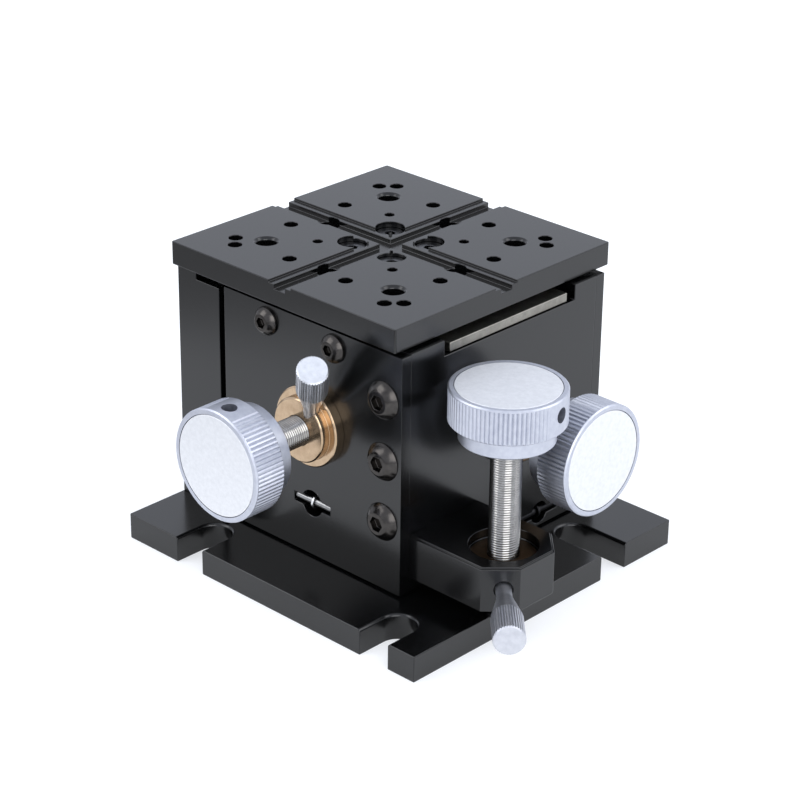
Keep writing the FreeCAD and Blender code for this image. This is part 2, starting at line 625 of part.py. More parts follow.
def base():
    plate = block("base_blank", ("base_left", "base_right"), ("base_front", "base_back"),
                  ("0", "base_thick"))
    cuts = clamping_slot("slot_front_left", "slot_left", "slot_front", "y")
    cuts += clamping_slot("slot_front_right", "slot_left + slot_pitch", "slot_front", "y")
    cuts += clamping_slot("slot_right", "slot_left + slot_pitch", "slot_front + slot_pitch", "x")
    for i, place in enumerate(POST_SCREWS):
        cuts.append(rod(f"base_screw_way{i}", "z", place, "-past", "base_thick + past",
                        "small_r + pass_room"))
        cuts.append(rod(f"base_screw_sink{i}", "z", place, "-past", POST_SEAT,
                        "small_cap_r + head_room"))
    cuts.append(rod("base_anvil_seat", "z", ("z_screw_x", "z_screw_y"), "base_thick - anvil_thick",
                    "base_thick + past", "anvil_r"))
    cuts.append(rod("base_spring_way", "z", ("z_spring_x", "z_spring_y"), "-past", "base_thick + past",
                    "spring_hole_r"))
    cuts.append(block("base_pin_slot",
                      ("z_spring_x - z_pin_half - pin_slot_end", "z_spring_x + z_pin_half + pin_slot_end"),
                      ("z_spring_y - pin_slot_wide / 2", "z_spring_y + pin_slot_wide / 2"),
                      ("-past", "z_pin_slot_deep")))
    node(without("base_plate", plate, cuts))
    node(rod("z_anvil", "z", ("z_screw_x", "z_screw_y"), "base_thick - anvil_thick", "base_thick",
             "anvil_r"))
    node(rod("z_spring_base_pin", "x", ("z_spring_y", "z_pin_z"), "z_spring_x - z_pin_half",
             "z_spring_x + z_pin_half", "spring_pin_r"))
    screws = [put(screw(f"post_screw{i}", "small", "cap", "base_thick - (small_cap_high + slide_room)"
                        " + post_screw_bite"), TURNS["-z"], x, y, POST_SEAT)
              for i, (x, y) in enumerate(POST_SCREWS)]
    node(together("post_screws", screws))


def post():
    """The fixed post, open on its right for the riser's tongue and its rails"""
    points = [
        ("base_left", "post_front"),
        ("post_right", "post_front"),
        ("post_right", "slide_middle - channel_half"),
        ("channel_left", "slide_middle - channel_half"),
        ("channel_left", "slide_middle + channel_half"),
        ("post_right", "slide_middle + channel_half"),
        ("post_right", "post_back"),
        ("base_left", "post_back"),
    ]
    column = profile("post_column", "z", points, "base_thick", "post_top")
    cuts = [block("post_step", ("notch_left", "post_right + past"), ("post_front - past", "post_back + past"),
                  ("post_top - notch_deep", "post_top + past"))]
    for i, place in enumerate(POST_SCREWS):
        cuts.append(rod(f"post_thread{i}", "z", place, "base_thick - past",
                        "base_thick + post_screw_bite + slide_room", "small_r"))
    node(without("fixed_post", column, cuts))


# Upright guide between the post and the riser

def upright_guide():
    middle = "slide_middle"
    moving, fixed = [], []
    for side, sign in enumerate("-+"):
        inner = f"{middle} {sign} tongue_half"
        moving.append(rail(f"z_moving_rail{side}", "z", inner, f"{inner} {sign} rail_thick",
                           "tongue_left", "z_rail_right", "z_rail_foot", "z_rail_foot + z_moving_long"))
        outer = f"{middle} {sign} channel_half"
        back = "+" if sign == "-" else "-"
        fixed.append(rail(f"z_fixed_rail{side}", "z", outer, f"{outer} {back} rail_thick",
                          "tongue_left", "z_rail_right", "z_rail_foot",
                          "z_rail_foot + z_moving_long + lift_travel + channel_room"))
    node(together("z_moving_rails", moving))
    node(together("z_fixed_rails", fixed))
    gaps = [f"{middle} {sign} (tongue_half + rail_thick + rail_gap / 2)" for sign in "-+"]
    caged_rollers("z", "z", "y", gaps, "(tongue_left + z_rail_right) / 2",
                  "z_rail_foot + z_moving_long / 2 + slide_room", "z_roller_count")


# Riser, the body that moves up and down, with its covers

LARGE_SCREWS = [("large_screw_x", f"large_screw_foot + {i} * large_screw_pitch") for i in range(3)]
SMALL_SCREWS = [(x, "small_screw_z") for x in ("small_screw_left", "small_screw_right")]
BRACKET_SCREWS = [(f"z_screw_y {sign} bracket_screw_y", "bracket_screw_z") for sign in "-+"]


def riser():
    depth = ("core_front", "core_back")
    right_wall = block("riser_right_wall", ("cavity_right", "face_right"), depth,
                       ("riser_foot", "right_wall_top"))
    corners = [block(f"riser_corner{i}", ("corner_left", "face_right"), ends,
                     ("riser_foot", "right_wall_top"))
               for i, ends in enumerate((("core_front", "corner_front"), ("corner_back", "core_back")))]
    floor = block("riser_floor", ("riser_left", "face_right"), depth, ("riser_foot", "floor_top"))
    left_wall = block("riser_left_wall", ("riser_left", "cavity_left"), depth,
                      ("riser_foot", "left_wall_top"))
    tongue = block("riser_tongue", ("tongue_left", "riser_left + past"),
                   ("slide_middle - tongue_half", "slide_middle + tongue_half"),
                   ("riser_foot", "left_wall_top"))
    whole = joined("riser_blank", [floor, left_wall, right_wall, tongue] + corners)
    cuts = [
        block("riser_window", ("cavity_right - past", "face_right + past"), ("-window_half", "window_half"),
              ("window_sill", "right_wall_top + past")),
        block("riser_trough", ("trough_left", "cavity_right"),
              ("x_spring_y - trough_half", "x_spring_y + trough_half"),
              ("riser_foot + trough_floor", "floor_top + past")),
        rod("riser_spring_way", "z", ("z_spring_x", "z_spring_y"), "riser_foot - past", "floor_top + past",
            "spring_hole_r"),
        rod("riser_pin_way", "x", ("z_spring_y", "z_pin_top"), "cavity_left - z_pin_in",
            "cavity_left + past", "spring_pin_r"),
        rod("riser_bushing_way", "x", ("x_screw_y", "x_screw_z"), "cavity_right - past", "face_right + past",
            "neck_r"),
        rod("riser_x_spring_way", "x", ("x_spring_y", "x_spring_z"), "cavity_right - past",
            "face_right + past", "x_spring_hole_r"),
        block("riser_x_pin_slot", ("face_right - pin_slot_deep", "face_right + past"),
              ("x_spring_y - x_pin_half - pin_slot_end", "x_spring_y + x_pin_half + pin_slot_end"),
              ("x_spring_z - spring_pin_r", "x_spring_z + spring_pin_r")),
    ]
    for i, place in enumerate(BRACKET_SCREWS):
        cuts.append(rod(f"riser_bracket_way{i}", "x", place, "corner_left - past", "face_right + past",
                        "small_r + pass_room"))
        cuts.append(rod(f"riser_bracket_sink{i}", "x", place, "corner_left - past",
                        "face_right - bracket_screw_seat", "small_cap_r + head_room"))
    for i, (x, z) in enumerate(LARGE_SCREWS):
        cuts.append(rod(f"riser_front_thread{i}", "y", (x, z), "core_front - past",
                        "core_front + large_screw_bite", "large_r"))
        cuts.append(rod(f"riser_back_thread{i}", "y", (x, z), "core_back - large_screw_bite",
                        "core_back + past", "large_r"))
    node(without("riser_body", whole, cuts))
    node(rod("z_spring_riser_pin", "x", ("z_spring_y", "z_pin_top"), "cavity_left - z_pin_in",
             "cavity_left + z_pin_out", "spring_pin_r"))
    node(rod("x_spring_pin", "y", ("x_pin_x", "x_spring_z"), "x_spring_y - x_pin_half",
             "x_spring_y + x_pin_half", "spring_pin_r"))


def plate_holes(label, low, high):
    """Plain holes for the screws that hold a cover"""
    holes = [rod(f"{label}_large{i}", "y", place, low, high, "large_r + pass_room")
             for i, place in enumerate(LARGE_SCREWS)]
    holes += [rod(f"{label}_small{i}", "y", place, low, high, "small_r + pass_room")
              for i, place in enumerate(SMALL_SCREWS)]
    return holes


def covers():
    width = ("riser_left", "face_right")
    front = block("front_blank", width, ("face_front", "core_front"), ("riser_foot", "cover_top"))
    low, high = "face_front - past", "core_front + past"
    cuts = plate_holes("front", low, high)
    cuts.append(rod("front_bushing_way", "y", ("y_screw_x", "y_screw_z"), low, high, "neck_r"))
    cuts.append(rod("front_spring_way", "y", ("y_spring_x", "y_spring_z"), low, high, "spring_hole_r"))
    cuts.append(block("front_pin_slot",
                      ("y_spring_x - y_pin_half - pin_slot_end", "y_spring_x + y_pin_half + pin_slot_end"),
                      (low, "face_front + pin_slot_deep"),
                      ("y_spring_z - pin_slot_wide / 2", "y_spring_z + pin_slot_wide / 2")))
    node(without("front_cover_plate", front, cuts))
    node(rod("y_spring_pin", "x", ("y_pin_y", "y_spring_z"), "y_spring_x - y_pin_half",
             "y_spring_x + y_pin_half", "spring_pin_r"))

    back_face = "core_back + back_thick"
    back = block("back_blank", width, ("core_back", back_face), ("riser_foot", "back_top"))
    node(without("back_plate", back, plate_holes("back", "core_back - past", f"{back_face} + past")))

    large = [put(screw(f"front_large{i}_screw", "large", "button", "cover_thick + large_screw_bite"
                       " - slide_room"), TURNS["-y"], x, "face_front", z)
             for i, (x, z) in enumerate(LARGE_SCREWS)]
    node(together("cover_screws_large", large))
    small = [put(screw(f"front_small{i}_screw", "small", "button", "cover_thick + small_screw_bite"),
                 TURNS["-y"], x, "face_front", z) for i, (x, z) in enumerate(SMALL_SCREWS)]
    node(together("cover_screws_small", small))
    rear = [put(screw(f"back_large{i}_screw", "large", "button", "back_thick + large_screw_bite"
                      " - slide_room"), TURNS["y"], x, back_face, z)
            for i, (x, z) in enumerate(LARGE_SCREWS)]
    rear += [put(screw(f"back_small{i}_screw", "small", "button", "back_thick + small_screw_bite"),
                 TURNS["y"], x, back_face, z) for i, (x, z) in enumerate(SMALL_SCREWS)]
    node(together("back_plate_screws", rear))


# Bracket for the lifting screw, with its brass bushing

def z_lock_line(label, low, high, radius):
    """A rod along the lifting lock's line, square to one of the bracket's corner facets"""
    bar = doc.addObject("Part::Cylinder", label)
    bind(bar, "Radius", radius)
    bind(bar, "Height", f"({high}) - ({low})")
    return put(bar, Rotation(Vector(0, 0, 1), Vector(1, -1, 0)),
               f"z_screw_x + (({low}) - z_lock_aside) / sqrt(2)",
               f"z_screw_y - (({low}) + z_lock_aside) / sqrt(2)", "z_lock_z")


def bracket():
    front, back = "z_screw_y - bracket_half", "z_screw_y + bracket_half"
    right = "bracket_right"

    def plan(inset):
        """The bracket's outline, drawn in by the edge break but not where it meets the riser"""
        cut = f"bracket_corner + {inset} * (sqrt(2) - 1)" if inset != "0" else "bracket_corner"
        return [
            ("face_right", f"{front} + {inset}"),
            (f"{right} - {inset} - ({cut}) + {inset}", f"{front} + {inset}"),
            (f"{right} - {inset}", f"{front} + ({cut})"),
            (f"{right} - {inset}", f"{back} - ({cut})"),
            (f"{right} - {inset} - ({cut}) + {inset}", f"{back} - {inset}"),
            ("face_right", f"{back} - {inset}"),
        ]

    slab = profile("bracket_slab", "z", plan("0"), "bracket_foot", "bracket_top - bracket_edge")
    rim = profile("bracket_rim", "z", plan("bracket_edge"), "bracket_top - bracket_edge", "bracket_top")
    whole = joined("bracket_blank", [slab, rim])
    middle = ("z_screw_x", "z_screw_y")
    cuts = [
        rod("bracket_recess", "z", middle, "bracket_top - bracket_recess_deep", "bracket_top + past",
            "bracket_recess_r"),
        rod("bracket_bore", "z", middle, "bracket_foot + bracket_lip", "bracket_top", "boss_r"),
        rod("bracket_lip_bore", "z", middle, "bracket_foot - past", "bracket_top", "bracket_lip_r"),
        z_lock_line("bracket_lock_way", "bore_r", "bracket_facet + past", "lock_hole_r"),
        z_lock_line("bracket_lock_sink", "bracket_facet - z_lock_sink", "bracket_facet + past",
                    "z_lock_sink_r"),
    ]
    for i, place in enumerate(BRACKET_SCREWS):
        cuts.append(rod(f"bracket_thread{i}", "x", place, "face_right - past",
                        "face_right + bracket_screw_bite + slide_room", "small_r"))
    node(without("z_bracket", whole, cuts))
    screws = [put(screw(f"bracket_screw{i}", "small", "cap", "bracket_screw_seat + bracket_screw_bite"),
                  TURNS["-x"], "face_right - bracket_screw_seat", y, z)
              for i, (y, z) in enumerate(BRACKET_SCREWS)]
    node(together("bracket_screws", screws))
    foot, top = "bracket_foot + bracket_lip", "bracket_top - bracket_recess_deep"
    ring = put(turned("z_bushing_ring", [
        ("bore_r", foot),
        ("boss_r", foot),
        ("boss_r", f"{top} - bushing_edge"),
        ("boss_r - bushing_edge", top),
        ("bore_r", top),
    ]), Rotation(), *middle)
    node(without("z_bushing", ring, [z_lock_line("z_bushing_lock_way", "drive_r", "boss_r + past",
                                                 "lock_hole_r")]))


def y_lock_line(thing):
    """Sets a shape along the front lock's line, from where it crosses the drive screw"""
    direction = Vector(number("y_lock_side"), -number("y_lock_out"), number("y_lock_up"))
    return put(thing, Rotation(Vector(0, 0, 1), direction), "y_screw_x", "y_lock_y", "y_screw_z")


def flanged_bushing(label, neck):
    return turned(label, [
        ("bore_r", f"-({neck})"),
        ("neck_r", f"-({neck})"),
        ("neck_r", "0"),
        ("flange_r", "0"),
        ("flange_r", "flange_thick - bushing_edge"),
        ("flange_r - bushing_edge", "flange_thick"),
        ("boss_r", "flange_thick"),
        ("boss_r", "boss_out - bushing_edge"),
        ("boss_r - bushing_edge", "boss_out"),
        ("bore_r", "boss_out"),
    ])


def side_bushings():
    front = put(flanged_bushing("y_bushing_blank", "y_neck_long"), TURNS["-y"], "y_screw_x",
                "face_front", "y_screw_z")
    way = doc.addObject("Part::Cylinder", "y_bushing_lock_way")
    bind(way, "Radius", "lock_hole_r")
    bind(way, "Height", "y_lock_hole")
    y_lock_line(way)
    node(without("y_bushing", front, [way]))
    node(put(flanged_bushing("x_bushing", "right_wall - x_neck_short"), TURNS["x"], "face_right",
             "x_screw_y", "x_screw_z"))


# Cross saddle, which slides along x inside the riser, and its rails

def cross_saddle():
    left, right = "keel_middle - saddle_outer", "saddle_right"
    inner = ("keel_middle - saddle_inner", "keel_middle + saddle_inner")
    height = ("saddle_foot", "saddle_top")
    frame = without("saddle_frame", block("saddle_frame_blank", (left, right),
                                          ("saddle_front", "saddle_back"), height),
                    [block("saddle_hollow", inner,
                           ("saddle_front + saddle_wall", "saddle_back - saddle_wall"),
                           ("saddle_foot - past", "saddle_top + past"))])
    ledge = block("saddle_ledge", ("keel_middle + saddle_inner", "ledge_right"),
                  ("-ledge_half", "ledge_half"), ("saddle_top", "saddle_top + ledge_thick"))
    arm = block("saddle_arm", ("x_arm_left", "x_arm_right"), ("x_arm_front", "x_arm_back"),
                ("x_arm_foot", "saddle_foot"))
    foot = block("saddle_arm_foot", ("x_foot_left", "x_arm_right"),
                 ("x_spring_y - trough_half", "x_arm_back"), ("x_arm_foot", "x_arm_foot + x_foot_thick"))
    whole = joined("saddle_blank", [frame, ledge, arm, foot])
    node(without("cross_saddle", whole, [
        rod("saddle_post_way", "z", ("x_post_x", "x_spring_y"), "x_arm_foot - past",
            "x_arm_foot + x_foot_thick + past", "spring_pin_r"),
    ]))
    node(block("x_pad", ("x_arm_right", "x_pad_face"), ("x_arm_front", "x_arm_front + x_pad_wide"),
               ("x_screw_z - pad_half", "x_screw_z + pad_half")))
    node(rod("x_spring_post", "z", ("x_post_x", "x_spring_y"), "x_spring_z - x_post_below",
             "x_arm_foot + x_foot_thick", "spring_pin_r"))


def cross_guides():
    middle = "x_rail_middle"
    moving = (f"{middle} - x_moving_long / 2", f"{middle} + x_moving_long / 2")
    fixed = (f"{moving[0]} - cross_travel + slide_room", f"{moving[1]} + cross_travel - slide_room")
    height = ("x_rail_foot", "x_rail_top")
    drilled = []
    for label, face, sign in (("x_fixed_rail_front", "core_front", "+"),
                              ("x_fixed_rail_back", "core_back", "-")):
        bar = rail(label + "_bar", "x", face, f"{face} {sign} rail_thick", *height, *fixed)
        ends = ("core_front - past", "core_front + small_screw_bite")
        if sign == "-":
            ends = ("core_back - small_screw_bite", "core_back + past")
        drilled.append(without(label, bar, [rod(f"{label}_thread{i}", "y", place, *ends, "small_r")
                                            for i, place in enumerate(SMALL_SCREWS)]))
    node(together("x_fixed_rails", drilled))
    node(together("x_moving_rails", [
        rail("x_moving_rail_front", "x", "saddle_front", "saddle_front - rail_thick", *height, *moving),
        rail("x_moving_rail_back", "x", "saddle_back", "saddle_back + rail_thick", *height, *moving),
    ]))
    caged_rollers("x", "x", "y", ["core_front + rail_thick + rail_gap / 2",
                                  "core_back - rail_thick - rail_gap / 2"],
                  "(x_rail_foot + x_rail_top) / 2", middle, "x_roller_count")

    moving = ("slide_middle - y_moving_long / 2", "slide_middle + y_moving_long / 2")
    fixed = ("saddle_front + saddle_wall", "saddle_back - saddle_wall")
    height = ("y_rail_foot", "y_rail_top")
    outer, inner = [], []
    for side, (sign, back) in enumerate(("-+", "+-")):
        wall = f"keel_middle {sign} saddle_inner"
        outer.append(rail(f"y_fixed_rail{side}", "y", wall, f"{wall} {back} rail_thick", *height, *fixed))
        flank = f"keel_middle {sign} keel_half"
        inner.append(rail(f"y_moving_rail{side}", "y", flank, f"{flank} {sign} rail_thick", *height,
                          *moving))
    node(together("y_fixed_rails", outer))
    node(together("y_moving_rails", inner))
    gaps = [f"keel_middle {sign} (keel_half + rail_thick + rail_gap / 2)" for sign in "-+"]
    caged_rollers("y", "y", "x", gaps, "(y_rail_foot + y_rail_top) / 2", "slide_middle",
                  "y_roller_count")


# Carriage under the top plate, which slides along y in the saddle

DECK_SCREWS = [(f"{a}deck_screw_off", f"{b}deck_screw_off") for a in ("", "-") for b in ("", "-")]


def carriage():
    table = block("carriage_table", ("carriage_left", "carriage_right"),
                  ("carriage_front", "carriage_back"), ("carriage_foot", "deck_under"))
    keel = block("carriage_keel", ("keel_middle - keel_half", "keel_middle + keel_half"),
                 ("y_arm_front", "slide_middle + y_moving_long / 2"), ("y_arm_top", "deck_under"))
    arm = block("carriage_arm", ("y_arm_left", "y_arm_right"), ("y_arm_front", "y_arm_back"),
                ("y_arm_foot", "y_arm_top"))
    whole = joined("carriage_blank", [table, keel, arm])
    cuts = [rod(f"carriage_thread{i}", "z", place, "carriage_foot - past", "deck_under + past", "small_r")
            for i, place in enumerate(DECK_SCREWS)]
    cuts.append(rod("carriage_spring_way", "y", ("y_spring_x", "y_spring_z"), "y_arm_front - past",
                    "y_arm_back + past", "spring_hole_r"))
    cuts.append(block("carriage_pin_slot",
                      ("y_spring_x - y_post_half - pin_slot_end", "y_spring_x + y_post_half + pin_slot_end"),
                      ("y_arm_back - pin_slot_deep", "y_arm_back + past"),
                      ("y_spring_z - pin_slot_wide / 2", "y_spring_z + pin_slot_wide / 2")))
    node(without("y_carriage", whole, cuts))
    node(block("y_pad", ("y_arm_left", "y_arm_right"), ("y_pad_face", "y_arm_front"),
               ("y_screw_z - pad_half", "y_screw_z + pad_half")))
    node(rod("y_spring_post", "x", ("y_post_y", "y_spring_z"), "y_spring_x - y_post_half",
             "y_spring_x + y_post_half", "spring_pin_r"))


# Top plate with its cross groove and its pattern of holes

def four(label, along, across, radius):
    """The same hole in all four quarters of the top plate"""
    return [rod(f"{label}{i}", "z", (f"{a}{along}", f"{b}{across}"), "deck_under - past", "deck_top + past",
                radius)
            for i, (a, b) in enumerate((("", ""), ("", "-"), ("-", ""), ("-", "-")))]


def rounded_plate():
    """The plate's blank, with round corners and a broken rim"""
    slab = block("deck_slab", ("-deck_half", "deck_half"), ("-deck_half", "deck_half"),
                 ("deck_under", "deck_top"))
    doc.recompute()
    rounded = doc.addObject("Part::Fillet", "deck_rounded")
    rounded.Base = slab
    corner, high = number("deck_corner"), number("deck_thick")
    rounded.Edges = [(i, corner, corner) for i, edge in enumerate(slab.Shape.Edges, start=1)
                     if abs(edge.BoundBox.ZLength - high) < CLOSE]
    doc.recompute()
    rim = doc.addObject("Part::Chamfer", "deck_rim")
    rim.Base = rounded
    edge_break = number("deck_edge")
    rim.Edges = [(i, edge_break, edge_break) for i, edge in enumerate(rounded.Shape.Edges, start=1)
                 if edge.BoundBox.ZLength < CLOSE]
    return rim


def deck():
    plate = rounded_plate()
    reach = ("-deck_half - past", "deck_half + past")
    cuts = []
    for label, wide, deep in (("deck_step", "groove_wide", "groove_step"),
                              ("deck_channel", "channel_wide", "channel_deep")):
        across = (f"-{wide} / 2", f"{wide} / 2")
        height = (f"deck_top - {deep}", "deck_top + past")
        cuts.append(block(label + "_x", reach, across, height))
        cuts.append(block(label + "_y", across, reach, height))
    for i, (x, y) in enumerate((("groove_hole_off", "0"), ("-groove_hole_off", "0"),
                                ("0", "groove_hole_off"), ("0", "-groove_hole_off"))):
        cuts.append(rod(f"deck_groove_hole{i}", "z", (x, y), "deck_under - past", "deck_top + past",
                        "groove_hole_r"))
    cuts += four("deck_corner_hole", "corner_hole_off", "corner_hole_off", "corner_hole_r")
    cuts += four("deck_inner_hole", "inner_hole_off", "inner_hole_off", "inner_hole_r")
    for i, (along, across) in enumerate((("edge_hole_wide", "edge_hole_out"),
                                         ("edge_hole_out", "edge_hole_wide"),
                                         ("edge_hole_out", "edge_hole_near"),
                                         ("edge_hole_near", "edge_hole_out"))):
        cuts += four(f"deck_edge_hole{i}_", along, across, "edge_hole_r")
    for i, (a, b) in enumerate((("", ""), ("", "-"), ("-", ""), ("-", "-"))):
        sink = doc.addObject("Part::Cone", f"deck_corner_sink{i}")
        bind(sink, "Radius1", "corner_hole_r")
        bind(sink, "Radius2", "corner_hole_r + 2 * corner_hole_sink")
        bind(sink, "Height", "2 * corner_hole_sink")
        cuts.append(put(sink, Rotation(), f"{a}corner_hole_off", f"{b}corner_hole_off",
                        "deck_top - corner_hole_sink"))
    seat = "deck_top - deck_screw_sunk - small_low_high"
    for i, place in enumerate(DECK_SCREWS):
        cuts.append(rod(f"deck_screw_way{i}", "z", place, "deck_under - past", "deck_top",
                        "small_r + pass_room"))
        cuts.append(rod(f"deck_screw_sink{i}", "z", place, seat, "deck_top + past",
                        "small_low_r + head_room"))
    node(without("top_plate", plate, cuts))
    bite = "deck_thick - deck_screw_sunk - small_low_high + deck_screw_bite"
    screws = [put(screw(f"deck_screw{i}", "small", "low", bite), Rotation(), x, y, seat)
              for i, (x, y) in enumerate(DECK_SCREWS)]
    node(together("deck_cap_screws", screws))


# Drive screws with their ball tips and knobs, each on its own upright axis

def drive(axis, turn, place, ball_middle, knob_rear, outward):
    """One drive: screw, ball tip, knob, face disc and set screw

    place gives the axis as x, y and z with None where the axis runs, ball_middle and knob_rear are
    coordinates along it, and outward is the sign in which the coordinate grows towards the knob.
    """
    def at(coordinate):
        return [coordinate if spot is None else spot for spot in place]

    end = "(ball_r - ball_out)"
    long = f"(({knob_rear}) - ({ball_middle})) * {outward} + knob_long - disc_thick - slide_room"
    blank = turned(f"{axis}_screw_blank", [
        ("0", f"-{end}"),
        ("drive_r - drive_edge", f"-{end}"),
        ("drive_r", f"-{end} + drive_edge"),
        ("drive_r", f"{long} - drive_edge"),
        ("drive_r - drive_edge", long),
        ("0", long),
    ])
    cup = doc.addObject("Part::Sphere", f"{axis}_screw_cup")
    bind(cup, "Radius", "ball_r + ball_play")
    node(put(without(f"{axis}_drive_screw", blank, [cup]), turn, *at(ball_middle)))
    ball = doc.addObject("Part::Sphere", f"{axis}_ball_tip")
    bind(ball, "Radius", "ball_r")
    node(put(ball, turn, *at(ball_middle)))

    recess = "disc_r + disc_play"
    blank = turned(f"{axis}_knob_blank", [
        ("bore_r", "0"),
        ("hub_r - knob_rim", "0"),
        ("hub_r", "knob_rim"),
        ("hub_r", "hub_long"),
        ("knob_r - knob_rim", "hub_long"),
        ("knob_r", "hub_long + knob_rim"),
        ("knob_r", "knob_long - knob_rim"),
        ("knob_r - knob_rim", "knob_long"),
        (recess, "knob_long"),
        (recess, "knob_long - disc_thick"),
        ("bore_r", "knob_long - disc_thick"),
    ])
    knurl = grooves(f"{axis}_knob_knurl", "knob_r", "knurl_deep", "knurl_half", "hub_long - knurl_past",
                    "knob_long - knurl_rim", "knurl_count", "knurl_clear")
    hole_z = "knob_long - set_hole_back"
    hole = rod(f"{axis}_knob_set_way", "x", ("0", hole_z), "0", "knob_r + past", "set_hole_r")
    spin = Rotation(Vector(0, 0, 1), number(f"{axis}_set_angle"))
    facing = turn.multiply(spin)
    node(put(without(f"{axis}_knob", blank, [knurl, hole]), facing, *at(knob_rear)))

    disc = turned(f"{axis}_knob_disc", [
        ("0", "knob_long - disc_thick"),
        ("disc_r", "knob_long - disc_thick"),
        ("disc_r", "knob_long"),
        ("0", "knob_long"),
    ])
    node(put(disc, facing, *at(knob_rear)))

    grub = rod(f"{axis}_grub_blank", "x", ("0", hole_z), "drive_r", "drive_r + set_screw_long",
               "set_hole_r - set_screw_play")
    key = doc.addObject("Part::Prism", f"{axis}_grub_key")
    key.Polygon = 6
    bind(key, "Circumradius", "set_screw_flats / sqrt(3)")
    bind(key, "Height", "set_screw_long")
    put(key, TURNS["x"], "drive_r + set_screw_long / 2", "0", hole_z)
    node(put(without(f"{axis}_knob_set_screw", grub, [key]), facing, *at(knob_rear)))


def drives():
    reach = "tip_gap + ball_r"
    drive("y", TURNS["-y"], ("y_screw_x", None, "y_screw_z"), f"y_pad_face - ({reach})", "y_knob_rear",
          -1)
    drive("x", TURNS["x"], (None, "x_screw_y", "x_screw_z"), f"x_pad_face + {reach}", "x_knob_rear", 1)
    drive("z", TURNS["z"], ("z_screw_x", "z_screw_y", None), f"base_thick + {reach}", "z_knob_rear", 1)


# Knurled locking screws

def lock_screw(label, tip, cone):
    head = f"{cone} + lock_cone_long"
    top = f"{head} + lock_head_long"
    blank = turned(label + "_blank", [
        ("0", tip),
        ("lock_thread_r", tip),
        ("lock_thread_r", cone),
        ("lock_head_r", head),
        ("lock_head_r", f"{top} - lock_edge"),
        ("lock_head_r - lock_edge", top),
        ("0", top),
    ])
    knurl = grooves(label + "_knurl", "lock_head_r", "lock_knurl_deep", "lock_knurl_half",
                    f"{head} - lock_knurl_out", f"{top} + knurl_past", "lock_knurl_count")
    return without(label, blank, [knurl])


def locks():
    node(y_lock_line(lock_screw("y_lock_screw", "y_lock_tip", "y_lock_cone")))
    node(put(lock_screw("z_lock_screw", "z_lock_tip", "z_lock_cone"),
             Rotation(Vector(0, 0, 1), Vector(1, -1, 0)), "z_screw_x - z_lock_aside / sqrt(2)",
             "z_screw_y - z_lock_aside / sqrt(2)", "z_lock_z"))


# Extension springs between two pins, hooks included

def spring(label, turn, start, long, hook_turns):
    """A spring along its own upright axis from the lower pin's middle to the upper pin's"""
    parts = []
    for name, height, hook_turn in (("foot", "0", hook_turns[0]), ("head", long, hook_turns[1])):
        ring = doc.addObject("Part::Torus", f"{label}_{name}_hook")
        bind(ring, "Radius1", "hook_r")
        bind(ring, "Radius2", "spring_wire_r")
        parts.append(put(ring, TURNS[hook_turn], z=height))
    parts.append(rod(label + "_wire_foot", "z", ("0", "0"), "hook_r", "spring_leg + past", "spring_wire_r"))
    parts.append(rod(label + "_wire_head", "z", ("0", "0"), f"{long} - spring_leg - past",
                     f"{long} - hook_r", "spring_wire_r"))
    parts.append(rod(label + "_coils", "z", ("0", "0"), "spring_leg", f"{long} - spring_leg",
                     "spring_r"))
    node(put(joined(label, parts), turn, *start))


def springs():
    spring("y_return_spring", TURNS["y"], ("y_spring_x", "y_pin_y", "y_spring_z"), "y_post_y - y_pin_y",
           ("x", "x"))
    spring("x_return_spring", TURNS["-x"], ("x_pin_x", "x_spring_y", "x_spring_z"),
           "x_pin_x - x_post_x", ("y", "x"))
    spring("z_return_spring", TURNS["z"], ("z_spring_x", "z_spring_y", "z_pin_z"),
           "z_pin_top - z_pin_z", ("x", "x"))


for build in (base, post, upright_guide, riser, covers, bracket, side_bushings, cross_saddle,
              cross_guides, carriage, deck, drives, locks, springs):
    build()
doc.recompute()

# Every object has to be sound before anything is written
for thing in doc.Objects:
    state = " ".join(thing.State)
    if "Invalid" in state or "Error" in state:
        raise RuntimeError(f"{thing.Label}: {state}")
for thing in nodes:
    if thing.Shape.isNull() or not thing.Shape.isValid() or not thing.Shape.Solids:
        raise RuntimeError(f"{thing.Label} has no sound shape")
if len({thing.Label for thing in nodes}) != len(nodes) or len(nodes) > 60:
    raise RuntimeError("node names repeat or are too many")
for thing in nodes:
    thing.Shape.exportStep(f"parts/{thing.Label}.step")
print(len(nodes), "nodes,", sum(len(thing.Shape.Solids) for thing in nodes), "solids")
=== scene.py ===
import json
import math

import bpy
from mathutils import Matrix, Vector


